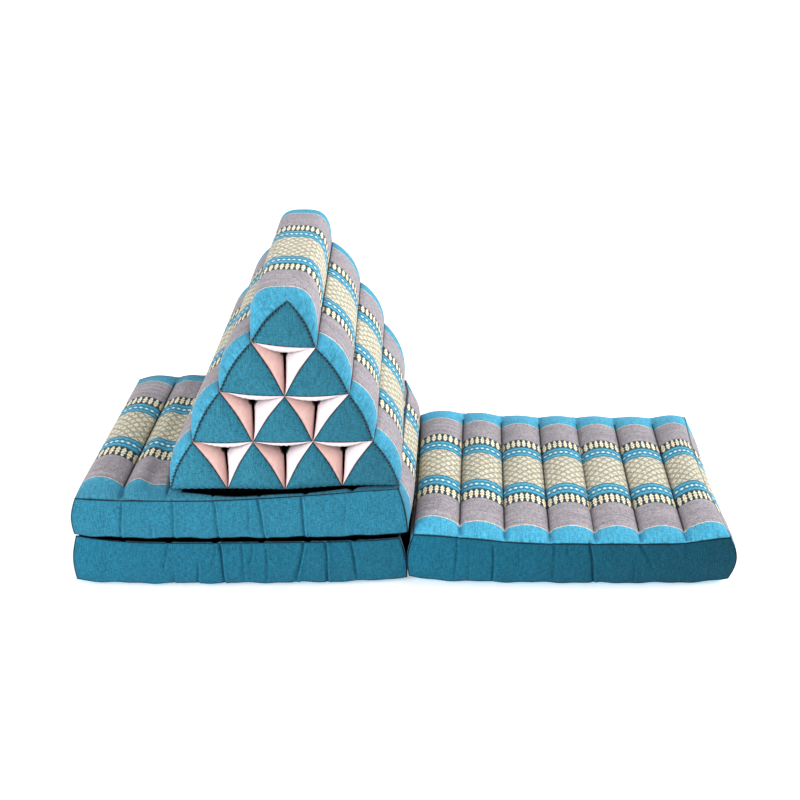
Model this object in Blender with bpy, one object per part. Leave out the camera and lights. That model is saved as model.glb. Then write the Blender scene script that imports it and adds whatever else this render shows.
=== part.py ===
"""Thai triangle cushion sewn to a mattress of three folding sections, in metres, +Z up."""
from collections import namedtuple
import math

import bmesh
import bpy
from mathutils import Vector

# Mattress
WIDTH = 0.500
ROLLS = 7
FRONT_SWELL = 0.004
CORNER_PULL = 0.008
CORNER_TUCK = 0.4
SHOULDER = 0.050
FRONT_BULGE = 0.007
LEFT_FOOT = 0.009
FRONT_FOOT = 0.002
VALLEY_DRAW = 0.002
CROWN = 0.003
ROLL_POWER = 0.75
HINGE_REACH = 0.60
HINGE_POWER = 1.3
FOLD_REACH = 0.30
RISE_REACH = (0.40, 0.20)
LIFT_FADE = 0.7
END_REACH = 1.2
LOWER_REACH = 0.030

# Triangle
ROWS = 4
TRIANGLE_FRONT = 0.012
TRIANGLE_BACK = 0.505
FOOT_FRONT = 0.184
FOOT_BACK = 0.195
ROLL_BULGE = (0.0185, 0.0145)
ROLL_FULLNESS = 0.7
CREASE_LEFT = (0.004, 0.001)
CREASE_RIGHT = (0.004, 0.009)
CREASE_UP = (0.013, 0.022)
CAP_BULGE = 0.005
CAP_CROWN = 0.010
CAP_SHOULDER = 0.036
ARCH_HEIGHT = (0.0795, 0.0660)
ARCH_POWER = 3.2
ARCH_START = 0.016
CLOTH_GAP = 0.0005
FRONT_FADE = 0.08
CORNER_LIFT = {
    (1, 0): 0.0055, (1, 1): -0.0050,
    (2, 0): 0.0045, (2, 1): -0.0040, (2, 2): -0.0015,
    (4, 0): -0.0015, (4, 1): -0.0010, (4, 2): -0.0035, (4, 3): 0.0030, (4, 4): 0.0030,
}

# Where the triangle presses the section under it flat
PRESSED_LEFT = -0.440
PRESSED_RIGHT = 0.050
PRESSED_FADE = 0.030
PRESSED_REACH = 0.095

# Frame: the middle of the whole footprint becomes the origin
MIDDLE_X = -0.0161
MIDDLE_Y = 0.2487

# Grid lines of the solids
ROLL_CUTS = (0.0, 0.2, 0.5, 0.8)
WIDTH_CUTS = (0.012, 0.030, 0.060, 0.130, 0.250, 0.370, 0.440, 0.470, 0.488)
WALL_CUTS = (0.3, 0.7)
SIDE_CUTS = (0.0, 0.05, 0.25, 0.5, 0.75, 0.95)
BLOCK_CUTS = (0.004, 0.012, 0.024, 0.040)
CAP_RINGS = (0.30, 0.45)

Row = namedtuple("Row", "height step middle")
LATTICE_FRONT = (
    Row(0.5195, 0.0000, -0.1889),
    Row(0.4435, 0.1025, -0.2012),
    Row(0.3580, 0.1050, -0.2049),
    Row(0.2710, 0.0997, -0.2128),
    Row(FOOT_FRONT, 0.0972, -0.2146),
)
LATTICE_BACK = (
    Row(0.5195, 0.0000, -0.2156),
    Row(0.4520, 0.0930, -0.2180),
    Row(0.3690, 0.1000, -0.2200),
    Row(0.2820, 0.0965, -0.2200),
    Row(FOOT_BACK, 0.0953, -0.2190),
)

Section = namedtuple("Section", (
    "name", "left", "length", "turn", "under_flat", "under_valley", "under_seam",
    "seam", "seam_back", "valley", "valley_back", "crest", "crest_back", "limit",
    "left_bulge", "left_back", "right_bulge", "right_draw", "right_back", "right_foot",
    "right_tuck", "seam_lift_left", "seam_lift_right", "rise_left", "rise_right"))

SECTIONS = (
    Section(name="mattress_right", left=0.0026, length=0.5456, turn=-0.69,
            under_flat=0.0, under_valley=0.008, under_seam=0.006,
            seam=0.083, seam_back=0.083, valley=0.089, valley_back=0.083,
            crest=0.104, crest_back=0.097, limit=0.200,
            left_bulge=0.011, left_back=0.010, right_bulge=0.021, right_draw=0.013,
            right_back=-0.007, right_foot=0.009, right_tuck=0.6,
            seam_lift_left=-0.0060, seam_lift_right=0.0, rise_left=0.0155, rise_right=0.0080),
    Section(name="mattress_lower", left=-0.5780, length=0.556, turn=0.78,
            under_flat=0.0, under_valley=0.008, under_seam=0.006,
            seam=0.086, seam_back=0.086, valley=0.080, valley_back=0.080,
            crest=0.104, crest_back=0.104, limit=0.0868,
            left_bulge=0.009, left_back=0.0, right_bulge=0.006, right_draw=0.003,
            right_back=0.0, right_foot=0.009, right_tuck=0.4,
            seam_lift_left=0.0100, seam_lift_right=0.0, rise_left=0.0, rise_right=0.0),
    Section(name="mattress_upper", left=-0.5710, length=0.549, turn=0.78,
            under_flat=0.0872, under_valley=0.096, under_seam=0.097,
            seam=0.168, seam_back=0.178, valley=0.174, valley_back=0.180,
            crest=0.195, crest_back=0.194, limit=0.300,
            left_bulge=0.009, left_back=0.0, right_bulge=0.0165, right_draw=0.001,
            right_back=0.006, right_foot=0.0145, right_tuck=0.8,
            seam_lift_left=0.0, seam_lift_right=0.0200, rise_left=0.0, rise_right=0.0),
)
STACK_TURN = 0.78


def smooth(t):
    """Eased step from 0 to 1."""
    t = min(max(t, 0.0), 1.0)
    return t * t * (3.0 - 2.0 * t)


def shoulder(distance, reach):
    """Quarter-round rise from 0 at a seam to 1 at the given reach."""
    t = min(max(distance / reach, 0.0), 1.0)
    return math.sqrt(1.0 - (1.0 - t) ** 2)


def between(pair, depth):
    """Value between a front and a back one."""
    return pair[0] + (pair[1] - pair[0]) * depth


def roll_wave(a):
    """0 in the sewn channels and 1 on the crests, for a from 0 to 1 along the section."""
    return abs(math.sin(math.pi * ROLLS * a)) ** ROLL_POWER


def pressed(x):
    """1 where the triangle lies on the section, fading to 0 beyond it."""
    left = smooth((x - PRESSED_LEFT) / PRESSED_FADE + 1.0)
    right = smooth((PRESSED_RIGHT - x) / PRESSED_FADE + 1.0)
    return left * right


def top_height(section, a, b):
    """Height of the section's upper cloth."""
    seam = between((section.seam, section.seam_back), b)
    seam += section.seam_lift_left * max(0.0, 1.0 - a / FOLD_REACH) ** 2
    lift = section.seam_lift_right * (1.0 - LIFT_FADE * b)
    seam += lift * max(0.0, 1.0 - (1.0 - a) / HINGE_REACH) ** HINGE_POWER
    from_seam = min(b, 1.0 - b) * WIDTH
    rise = shoulder(from_seam, SHOULDER)
    ends = shoulder(min(a, 1.0 - a) * section.length, SHOULDER / 2)
    low = between((section.valley, section.valley_back), b)
    valley = seam + (low - seam) * rise * ends
    crest = between((section.crest, section.crest_back), b) + CROWN * math.sin(math.pi * b)
    z = valley + (crest - valley) * rise * roll_wave(a)
    propped = section.rise_left * smooth(1.0 - a / RISE_REACH[0])
    propped += section.rise_right * smooth(1.0 - (1.0 - a) / RISE_REACH[1])
    if section.name == "mattress_upper":
        x = section.left + a * section.length
        depth = (b * WIDTH - TRIANGLE_FRONT) / (TRIANGLE_BACK - TRIANGLE_FRONT)
        under = FOOT_FRONT + (FOOT_BACK - FOOT_FRONT) * depth - CLOTH_GAP
        under = min(under, seam + (under - seam) * shoulder(from_seam, PRESSED_REACH))
        return min(z, z + (under - z) * pressed(x))
    return propped + min(z, seam + (section.limit - seam) * shoulder(from_seam, LOWER_REACH))


def under_height(section, a, b):
    """Height of the section's lower cloth, flat under each roll."""
    seam = section.under_seam
    rise = smooth(min(b, 1.0 - b) * WIDTH / WIDTH_CUTS[1])
    flat = min(1.0, abs(math.sin(math.pi * ROLLS * a)) / math.sin(math.pi * ROLL_CUTS[1]))
    ends = shoulder(min(a, 1.0 - a) * section.length, SHOULDER / 2)
    valley = seam + (section.under_valley - seam) * rise * ends
    return valley + (section.under_flat - valley) * rise * flat


def section_point(section, a, b, c):
    """Place of the box point (a, b, c) on the stuffed section, before its turn."""
    top = top_height(section, a, b)
    under = under_height(section, a, b)
    z = under + (top - under) * c
    belly = math.sin(math.pi * c)
    corner_b = CORNER_TUCK * abs(2.0 * b - 1.0) ** 6
    corner_a = abs(2.0 * a - 1.0) ** 6
    ends = 1.0 - (2.0 * b - 1.0) ** 2
    sides = 1.0 - (2.0 * a - 1.0) ** 2
    corner_right = section.right_tuck * abs(2.0 * b - 1.0) ** 6
    left_out = section.left_bulge * belly * (1.0 - corner_b) + LEFT_FOOT * (1.0 - c)
    left_out += section.left_back * (0.18 + b ** 2)
    right_out = section.right_bulge * belly * (1.0 - corner_right) + section.right_foot * (1.0 - c)
    right_out += section.right_back * b ** 2 - section.right_draw * ends
    x = section.left + section.length * a
    x -= left_out * max(0.0, 1.0 - a * ROLLS / END_REACH) ** 2
    x += right_out * max(0.0, 1.0 - (1.0 - a) * ROLLS / END_REACH) ** 2
    side = FRONT_SWELL * sides + FRONT_BULGE * belly * (1.0 - CORNER_TUCK * corner_a)
    side += FRONT_FOOT * (1.0 - c) - CORNER_PULL * corner_a
    side -= VALLEY_DRAW * (1.0 - roll_wave(a)) * belly
    low_y = -side
    high_y = WIDTH + side
    return Vector((x, low_y + (high_y - low_y) * b, z))


def turned(point, degrees):
    """Turn about the front corner by the hinge, then move into the part's frame."""
    angle = math.radians(degrees)
    x = point.x * math.cos(angle) - point.y * math.sin(angle)
    y = point.x * math.sin(angle) + point.y * math.cos(angle)
    return Vector((x - MIDDLE_X, y - MIDDLE_Y, point.z))


def lattice(row, index, depth, fill):
    """Corner of the lattice: row 0 is the apex, depth 0 front to 1 back, fill 0 at a cap."""
    front, back = LATTICE_FRONT[row], LATTICE_BACK[row]
    aside = index - row / 2
    near = Vector((front.middle + front.step * aside, 0.0, front.height))
    far = Vector((back.middle + back.step * aside, 0.0, back.height))
    corner = near.lerp(far, depth)
    corner.z += CORNER_LIFT.get((row, index), 0.0) * (1.0 - smooth(depth / FRONT_FADE))
    if 0 < row < ROWS and index in (0, row):
        outward = between(CREASE_RIGHT, depth) if index else -between(CREASE_LEFT, depth)
        corner.x += outward * fill
        corner.z += between(CREASE_UP, depth) * fill
    return corner


def wall_point(kind, start, end, beyond, along, fill, depth):
    """Point of one wall of a block, straight at the cap and full where fill is 1."""
    run = end - start
    out = Vector((run.z, 0.0, -run.x)).normalized()
    flat = start + run * along
    wave = math.sin(math.pi * along)
    if kind == "bottom":
        return flat
    if kind == "outer":
        full = flat + out * between(ROLL_BULGE, depth) * wave ** ROLL_FULLNESS
        return (flat + out * CAP_BULGE * wave).lerp(full, fill)
    ridge = (start + end + beyond) / 3.0
    if along < 0.5:
        full = start.lerp(ridge, 2.0 * along)
    else:
        full = ridge.lerp(end, 2.0 * along - 1.0)
    return (flat + out * CAP_BULGE * 0.5 * wave).lerp(full, fill)


def block_outline(row, index, t, fill, depth):
    """Point of a block's cross-section, t from 0 to 1 around it from its lower left corner."""
    top = lattice(row - 1, index - 1, depth, fill)
    left = lattice(row, index - 1, depth, fill)
    right = lattice(row, index, depth, fill)
    middle = (top + left + right) / 3.0
    side = min(int(t * 3.0), 2)
    along = t * 3.0 - side
    start, end = ((left, right), (right, top), (top, left))[side]
    next_corner = ((row + 1, index), (row - 1, index), (row - 1, index - 2))[side]
    beyond = lattice(min(next_corner[0], ROWS), next_corner[1], depth, fill)
    if side == 0:
        kind = "bottom" if row == ROWS else "inner"
    elif side == 1:
        kind = "outer" if index == row else "inner"
    else:
        kind = "outer" if index == 1 else "inner"
    point = wall_point(kind, start, end, beyond, along, fill, depth)
    if row == 1 and side > 0:
        turn = math.pi * (t - 1.0 / 3.0) * 1.5
        reach = abs(math.cos(turn)) ** ARCH_POWER + math.sin(turn) ** ARCH_POWER
        scale = reach ** (-1.0 / ARCH_POWER)
        centre = (left + right) / 2.0
        half_width = (right.x - left.x) / 2.0 * math.cos(turn) * scale
        height = between(ARCH_HEIGHT, depth) * math.sin(turn) * scale
        arch = centre + Vector((half_width, 0.0, height))
        spread = min(1.0, (t - 1.0 / 3.0) / ARCH_START, (1.0 - t) / ARCH_START)
        point = point.lerp(arch, fill * spread)
    inward = (middle - point).normalized() * CLOTH_GAP
    if kind == "bottom":
        inward.z = 0.0
    return point + inward, middle


def block_point(row, index, t, radius, y):
    """Place of a cylinder point on the stuffed block, before the turn."""
    depth = (y - TRIANGLE_FRONT) / (TRIANGLE_BACK - TRIANGLE_FRONT)
    from_cap = min(y - TRIANGLE_FRONT, TRIANGLE_BACK - y)
    fill = shoulder(from_cap, CAP_SHOULDER)
    point, middle = block_outline(row, index, t, fill, depth)
    if radius < 0.999:
        crown = CAP_CROWN * (1.0 - radius ** 2)
        point = middle.lerp(point, radius)
        y += -crown if depth < 0.5 else crown
    return Vector((point.x, y, point.z))


def clear_scene():
    """Start from nothing."""
    for item in list(bpy.data.objects):
        bpy.data.objects.remove(item, do_unlink=True)


def cloth(name, colour, roughness):
    """Plain woven cotton."""
    material = bpy.data.materials.new(name)
    material.use_nodes = True
    shader = material.node_tree.nodes["Principled BSDF"]
    shader.inputs["Base Color"].default_value = (*colour, 1.0)
    shader.inputs["Roughness"].default_value = roughness
    shader.inputs["Metallic"].default_value = 0.0
    return material


def add_object(name, mesh_data, collection, material):
    """Name the finished solid and file it under the part's collection."""
    part = bpy.data.objects.new(name, mesh_data)
    part.data.materials.append(material)
    collection.objects.link(part)
    return part


def cut_across(mesh, axis, places):
    """Add grid lines to a box at the given places along one axis."""
    for place in places:
        point = Vector((0.0, 0.0, 0.0))
        normal = Vector((0.0, 0.0, 0.0))
        point[axis] = place
        normal[axis] = 1.0
        everything = mesh.verts[:] + mesh.edges[:] + mesh.faces[:]
        bmesh.ops.bisect_plane(mesh, geom=everything, dist=1e-6, plane_co=point, plane_no=normal)


def make_section(section, collection, material):
    """A box cut into a grid, stuffed and drawn in by its sewn channels."""
    mesh = bmesh.new()
    bmesh.ops.create_cube(mesh, size=1.0)
    bmesh.ops.translate(mesh, verts=mesh.verts, vec=(0.5, 0.5, 0.5))
    along = [(roll + cut) / ROLLS for roll in range(ROLLS) for cut in ROLL_CUTS]
    cut_across(mesh, 0, along[1:])
    cut_across(mesh, 1, [cut / WIDTH for cut in WIDTH_CUTS])
    cut_across(mesh, 2, WALL_CUTS)
    for vertex in mesh.verts:
        a, b, c = vertex.co
        vertex.co = turned(section_point(section, a, b, c), section.turn)
    bmesh.ops.triangulate(mesh, faces=mesh.faces)
    for face in mesh.faces:
        face.smooth = True
    data = bpy.data.meshes.new(section.name)
    mesh.to_mesh(data)
    mesh.free()
    return add_object(section.name, data, collection, material)


def make_block(row, index, collection, material):
    """A round bolster blank, crossed by rings and pressed into its triangular place."""
    name = f"block_{row}_{index}"
    length = TRIANGLE_BACK - TRIANGLE_FRONT
    around = [(side + cut) / 3.0 for side in range(3) for cut in SIDE_CUTS]
    mesh = bmesh.new()
    bmesh.ops.create_cone(mesh, cap_ends=True, segments=len(around),
                          radius1=1.0, radius2=1.0, depth=length)
    caps = [face for face in mesh.faces if len(face.verts) > 4]
    for ring in CAP_RINGS:
        bmesh.ops.inset_individual(mesh, faces=caps, thickness=ring, use_even_offset=False)
    near = [length / 2 - cut for cut in BLOCK_CUTS]
    walls = [face for face in mesh.faces if abs(face.normal.z) < 0.5]
    edges = {edge for face in walls for edge in face.edges}
    corners = {vertex for face in walls for vertex in face.verts}
    for place in near + [-cut for cut in near]:
        everything = list(corners) + list(edges) + walls
        found = bmesh.ops.bisect_plane(mesh, geom=everything, dist=1e-6,
                                       plane_co=(0.0, 0.0, place), plane_no=(0.0, 0.0, 1.0))
        kept = found["geom"]
        walls = [item for item in kept if isinstance(item, bmesh.types.BMFace)]
        edges = {item for item in kept if isinstance(item, bmesh.types.BMEdge)}
        corners = {item for item in kept if isinstance(item, bmesh.types.BMVert)}
    for vertex in mesh.verts:
        turn = math.atan2(vertex.co.x, vertex.co.y) / math.tau
        t = around[round((turn % 1.0) * len(around)) % len(around)]
        radius = min(vertex.co.xy.length, 1.0)
        y = TRIANGLE_FRONT + length / 2 + vertex.co.z
        point = block_point(row, index, t, radius, y)
        vertex.co = turned(point, STACK_TURN)
    bmesh.ops.triangulate(mesh, faces=mesh.faces)
    bmesh.ops.recalc_face_normals(mesh, faces=mesh.faces)
    for face in mesh.faces:
        face.smooth = True
    data = bpy.data.meshes.new(name)
    mesh.to_mesh(data)
    mesh.free()
    return add_object(name, data, collection, material)


def main():
    """Build the three sections and the ten blocks."""
    clear_scene()
    collection = bpy.data.collections.new("thai triangle cushion")
    bpy.context.scene.collection.children.link(collection)
    banded = cloth("banded_cotton", (0.19, 0.35, 0.38), 0.9)
    plain = cloth("turquoise_cotton", (0.03, 0.29, 0.44), 0.9)
    for section in SECTIONS:
        make_section(section, collection, banded)
    for row in range(1, ROWS + 1):
        for index in range(1, row + 1):
            make_block(row, index, collection, plain)


main()
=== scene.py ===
"""Cloth, seams, stitches and studio for the thai triangle cushion and its folding mattress."""
from collections import namedtuple
import math

import bmesh
import bpy
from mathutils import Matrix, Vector
import numpy as np

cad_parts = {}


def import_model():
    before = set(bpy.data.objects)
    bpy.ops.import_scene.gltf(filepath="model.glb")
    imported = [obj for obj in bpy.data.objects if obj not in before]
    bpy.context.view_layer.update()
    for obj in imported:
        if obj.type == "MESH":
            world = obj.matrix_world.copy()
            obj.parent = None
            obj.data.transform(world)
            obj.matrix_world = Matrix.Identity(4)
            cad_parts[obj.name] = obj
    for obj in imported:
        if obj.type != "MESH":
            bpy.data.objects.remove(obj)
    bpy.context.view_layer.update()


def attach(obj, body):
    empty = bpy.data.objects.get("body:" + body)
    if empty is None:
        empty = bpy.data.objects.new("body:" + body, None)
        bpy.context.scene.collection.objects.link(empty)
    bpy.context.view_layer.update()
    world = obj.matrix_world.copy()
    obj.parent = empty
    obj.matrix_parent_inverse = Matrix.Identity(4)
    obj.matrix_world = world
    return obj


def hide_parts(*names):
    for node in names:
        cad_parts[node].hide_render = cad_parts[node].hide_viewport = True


# Mattress sections, in metres
WIDTH = 0.500
ROLLS = 7
FRONT_SWELL = 0.004
CORNER_PULL = 0.008
CORNER_TUCK = 0.4
CORNER_POWER = 6
SHOULDER = 0.050
FRONT_BULGE = 0.007
LEFT_FOOT = 0.009
FRONT_FOOT = 0.002
VALLEY_DRAW = 0.002
CROWN = 0.003
ROLL_POWER = 0.75
HINGE_REACH = 0.60
HINGE_POWER = 1.3
FOLD_REACH = 0.30
RISE_REACH = (0.40, 0.20)
LIFT_FADE = 0.7
END_REACH = 1.2
LOWER_REACH = 0.030
WALL_DROP = 0.09
ROLL_TAKE_UP = 1.06
CHANNEL_END = 0.030
FOOT_WAVE = 0.0032
SEAM_RISE = 0.018
END_SEAM = 0.5
BACK_CORNER = (0.009, 0.012)
BACK_ROUND = (0.07, 0.20)
FRONT_GATHER = 0.0038
BACK_GATHER = 0.0014
UNDER_RISE = 0.030
FLAT_FROM = 0.2
FOOT_REACH = 0.028
FOOT_RIPPLES = ((0.6, 61.0, 0.9), (0.4, 134.0, 2.0))
CHANNEL_PULL = 0.0012
CHANNEL_WIDTH = 0.0022
# NO_CHANNEL: sewing-map value far from any painted channel shade; HIDDEN_LIMIT: deepest value of the
# painted shadow
NO_CHANNEL = 0.05
HIDDEN_LIMIT = -0.008

# The dark gap under the front of the triangle, painted as shadow on the upper section's top
GAP_LEFT = -0.390
GAP_RIGHT = -0.027
GAP_RIGHT_BACK = -0.045
GAP_START = 0.004
GAP_RISE_LEFT = 0.65
GAP_RISE_RIGHT = 0.30
GAP_MIDDLE = -0.26

# Triangle
ROWS = 4
BLOCKS = [(row, index) for row in range(1, ROWS + 1) for index in range(1, row + 1)]
TRIANGLE_FRONT = 0.012
TRIANGLE_BACK = 0.505
TRIANGLE_MIDDLE = 0.2425
FOOT_FRONT = 0.184
FOOT_BACK = 0.195
ROLL_BULGE = (0.0185, 0.0145)
ROLL_FULLNESS = 0.7
CREASE_LEFT = (0.004, 0.001)
CREASE_RIGHT = (0.004, 0.009)
CREASE_UP = (0.013, 0.022)
CAP_BULGE = 0.005
CAP_CROWN = 0.010
CAP_SHOULDER = 0.036
ARCH_HEIGHT = (0.0795, 0.0660)
ARCH_POWER = 3.2
ARCH_START = 0.016
CLOTH_GAP = 0.0005
SIDE_CLOTH = 0.106
CAP_SEAM = 0.045
CAP_PUCKER = 0.0016
ROLL_GATHER = 0.0015
CAP_PUCKERS = 29.0
ROLL_GATHERS = 37.0
PUCKER_PEAK = 0.05
GATHER_PEAK = 0.006
# RIDGE_FADE, RIDGE_DARK, LENS_REACH, SLIT_REACH and TUNNEL_REACH set painted shade in the tunnels:
# black along the walls' meeting line and deep inside
RIDGE_FADE = 0.030
RIDGE_DARK = 0.005
INNER_GATHER = 0.4
LENS_DEPTH = 0.013
LENS_REACH = 0.009
LENS_QUICK = 1.5
SLIT_REACH = 0.022
TUNNEL_REACH = 0.033
TUNNEL_RISE = 0.028
RIDGE_LIFT = 0.004
FRONT_FADE = 0.08
CORNER_LIFT = {
    (1, 0): 0.0055, (1, 1): -0.0050,
    (2, 0): 0.0045, (2, 1): -0.0040, (2, 2): -0.0015,
    (4, 0): -0.0015, (4, 1): -0.0010, (4, 2): -0.0035, (4, 3): 0.0030, (4, 4): 0.0030,
}

# Where the triangle presses the section under it flat
PRESSED_LEFT = -0.440
PRESSED_RIGHT = 0.050
PRESSED_FADE = 0.030
PRESSED_REACH = 0.095

# Frame: the middle of the whole footprint is the origin
MIDDLE_X = -0.0161
MIDDLE_Y = 0.2487
STACK_TURN = 0.78

# Mesh steps
ROLL_STEPS = 22
SECTION_STEPS = 30
WALL_STEPS = 16
SIDE_STEPS = 30
EDGE_STEPS = (0.0, 0.0012, 0.0025, 0.004, 0.006, 0.009, 0.012, 0.016, 0.021, 0.027, 0.034, 0.042)
MIDDLE_STEPS = 48
LINE_GAP = 0.0012
CAP_STEPS = (0.0, 0.0008, 0.002, 0.0035, 0.006, 0.009, 0.013, 0.018, 0.024, 0.030, 0.036, 0.044)
LENGTH_STEPS = 38
CAP_RINGS = (0.015, 0.015, 0.03, 0.04, 0.06, 0.08, 0.10, 0.12, 0.14, 0.15, 0.15)

# Stitches
STITCH_LENGTH = 0.0075
STITCH_THICKNESS = 0.00095
STITCH_PITCH = 0.0066
STITCH_SLANT = 0.75
STITCH_WOBBLE = 0.15
STITCH_TURN = 2.399
STITCH_INSET = 0.0008
STITCH_BEND = 0.0028
STITCH_PROUD = 0.0018
STITCH_TIPS = (0.45, 0.45, 1.16)
STITCH_LOOK = 0.001
SEAM_POINTS = 240
THREAD_STEPS = 320
THREAD_RADIUS = 0.0011
THREAD_SHARE = 0.996

# Woven bands, each from the middle of the cloth outwards
LATTICE_EDGE = 0.0535
DOTTED_EDGE = 0.0925
LEAF_EDGE = 0.1255
CREAM_LINE = 0.2040
LEAF_PITCH = 0.0108
LENS_PITCH = 0.0190
LENS_ROWS = 0.0210
RIBS = (420.0, 14.0)
WEAVE = (720.0, 120.0)

Row = namedtuple("Row", "height step middle")
LATTICE_FRONT = (
    Row(0.5195, 0.0000, -0.1889),
    Row(0.4435, 0.1025, -0.2012),
    Row(0.3580, 0.1050, -0.2049),
    Row(0.2710, 0.0997, -0.2128),
    Row(FOOT_FRONT, 0.0972, -0.2146),
)
LATTICE_BACK = (
    Row(0.5195, 0.0000, -0.2156),
    Row(0.4520, 0.0930, -0.2180),
    Row(0.3690, 0.1000, -0.2200),
    Row(0.2820, 0.0965, -0.2200),
    Row(FOOT_BACK, 0.0953, -0.2190),
)

Section = namedtuple("Section", (
    "name", "left", "length", "turn", "cloth_middle", "under_flat", "under_valley", "under_seam",
    "seam", "seam_back", "valley", "valley_back", "crest", "crest_back", "limit",
    "left_bulge", "right_bulge", "right_draw", "right_foot", "right_tuck",
    "left_back", "right_back", "seam_lift_left", "seam_lift_right", "rise_left", "rise_right"),
    defaults=(0.0,) * 6)

SECTIONS = (
    Section(name="mattress_right", left=0.0026, length=0.5456, turn=-0.69, cloth_middle=0.2330,
            under_flat=0.0, under_valley=0.008, under_seam=0.006,
            seam=0.083, seam_back=0.083, valley=0.089, valley_back=0.083,
            crest=0.104, crest_back=0.097, limit=0.200,
            left_bulge=0.011, right_bulge=0.0240, right_draw=0.013, right_foot=0.002,
            right_tuck=0.5, left_back=0.010, right_back=-0.007,
            seam_lift_left=-0.0060, rise_left=0.0155, rise_right=0.0080),
    Section(name="mattress_lower", left=-0.5780, length=0.556, turn=0.78, cloth_middle=0.2395,
            under_flat=0.0, under_valley=0.008, under_seam=0.006,
            seam=0.086, seam_back=0.086, valley=0.080, valley_back=0.080,
            crest=0.104, crest_back=0.104, limit=0.0868,
            left_bulge=0.009, right_bulge=0.006, right_draw=0.003, right_foot=0.0113,
            right_tuck=0.4, seam_lift_left=0.0100),
    Section(name="mattress_upper", left=-0.5710, length=0.549, turn=0.78, cloth_middle=0.2395,
            under_flat=0.0872, under_valley=0.096, under_seam=0.097,
            seam=0.168, seam_back=0.178, valley=0.174, valley_back=0.180,
            crest=0.195, crest_back=0.194, limit=0.300,
            left_bulge=0.009, right_bulge=0.0165, right_draw=0.001, right_foot=0.0145,
            right_tuck=0.8, right_back=0.006, seam_lift_right=0.0200),
)

# Pucker folds in the front walls: place at the top and at the foot, the heights between which
# the fold runs as shares of the wall, and its depth
Fold = namedtuple("Fold", "top foot start end depth")
FRONT_FOLDS = {
    "mattress_right": (
        (0.0766, 0.0740, 1.00, 0.15, 0.0022),
        (0.0938, 0.0975, 1.00, 0.10, 0.0012),
        (0.1384, 0.1392, 0.85, 0.05, 0.0026),
        (0.1810, 0.1840, 0.95, 0.40, 0.0010),
        (0.2430, 0.2434, 1.00, 0.15, 0.0018),
        (0.2650, 0.2685, 1.00, 0.50, 0.0010),
        (0.3045, 0.3150, 1.00, 0.02, 0.0034),
        (0.3425, 0.3460, 1.00, 0.60, 0.0010),
        (0.3810, 0.3845, 0.60, 0.05, 0.0014),
        (0.3900, 0.4160, 1.00, 0.40, 0.0022),
        (0.4695, 0.4716, 0.95, 0.60, 0.0010),
    ),
    "mattress_lower": (
        (-0.4190, -0.4300, 1.00, 0.40, 0.0022),
        (-0.4147, -0.4146, 0.25, 0.02, 0.0016),
        (-0.3708, -0.3730, 0.60, 0.02, 0.0022),
        (-0.3389, -0.3470, 0.98, 0.35, 0.0014),
        (-0.3310, -0.3270, 1.00, 0.02, 0.0036),
        (-0.2940, -0.2918, 1.00, 0.10, 0.0018),
        (-0.2754, -0.2800, 0.95, 0.50, 0.0018),
        (-0.2520, -0.2524, 0.85, 0.08, 0.0020),
        (-0.1870, -0.2030, 1.00, 0.02, 0.0034),
        (-0.1498, -0.1478, 1.00, 0.02, 0.0034),
        (-0.1069, -0.0970, 1.00, 0.08, 0.0028),
        (-0.0220, -0.0160, 1.00, 0.20, 0.0016),
    ),
    "mattress_upper": (
        (-0.4949, -0.5000, 1.00, 0.70, 0.0012),
        (-0.4906, -0.4968, 0.98, 0.02, 0.0022),
        (-0.4439, -0.4434, 0.40, 0.05, 0.0014),
        (-0.4044, -0.4062, 0.98, 0.02, 0.0026),
        (-0.3345, -0.3300, 1.00, 0.02, 0.0028),
        (-0.2764, -0.2770, 0.95, 0.20, 0.0018),
        (-0.2600, -0.2515, 1.00, 0.02, 0.0032),
        (-0.1868, -0.1830, 1.00, 0.02, 0.0034),
        (-0.1106, -0.1160, 0.95, 0.30, 0.0014),
        (-0.0700, -0.0720, 0.90, 0.60, 0.0008),
    ),
}
BACK_FOLD_SHARE = 0.7
FOLD_GAIN = 1.4
FOLD_DEEPEST = 0.0036
FOLD_CLEAR = 0.0035
FOLD_WIDTH = 0.0034
FOLD_BEND = 0.0012
FOLD_LINES = (-0.0065, -0.0040, -0.0020, 0.0, 0.0020, 0.0040, 0.0065)


def smooth(t):
    """Eased step from 0 to 1."""
    t = np.clip(t, 0.0, 1.0)
    return t * t * (3.0 - 2.0 * t)


def shoulder(distance, reach):
    """Quarter-round rise from 0 at a seam to 1 at the given reach."""
    t = np.clip(distance / reach, 0.0, 1.0)
    return np.sqrt(1.0 - (1.0 - t) ** 2)


def crowded(step, share):
    """Even steps from 0 to 1 moved towards both ends by a share."""
    return (1.0 - share) * step + share * (0.5 - 0.5 * np.cos(math.pi * step))


def between(pair, depth):
    """Value between a front and a back one."""
    return pair[0] + (pair[1] - pair[0]) * depth


def swell(distance, peak):
    """Quick rise from 0 to 1 at the peak, then a slow fall."""
    return distance / peak * np.exp(1.0 - distance / peak)


def blend(first, second, share):
    """Points moved from the first ones towards the second ones."""
    return first + (second - first) * share[:, None]


def turned(x, y, z, degrees):
    """Turn about the front corner by the hinge, then move into the part's frame."""
    angle = math.radians(degrees)
    across = x * math.cos(angle) - y * math.sin(angle) - MIDDLE_X
    deep = x * math.sin(angle) + y * math.cos(angle) - MIDDLE_Y
    return np.stack((across, deep, z), axis=1)


# Bench work: blanks, selections and the moves made on them

def fresh(primitive, name, **settings):
    """Add a primitive by itself and name it."""
    bpy.ops.object.select_all(action="DESELECT")
    primitive(**settings)
    piece = bpy.context.active_object
    piece.name = name
    piece.data.name = name
    bpy.ops.object.transform_apply(location=True, rotation=True, scale=True)
    return piece


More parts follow.
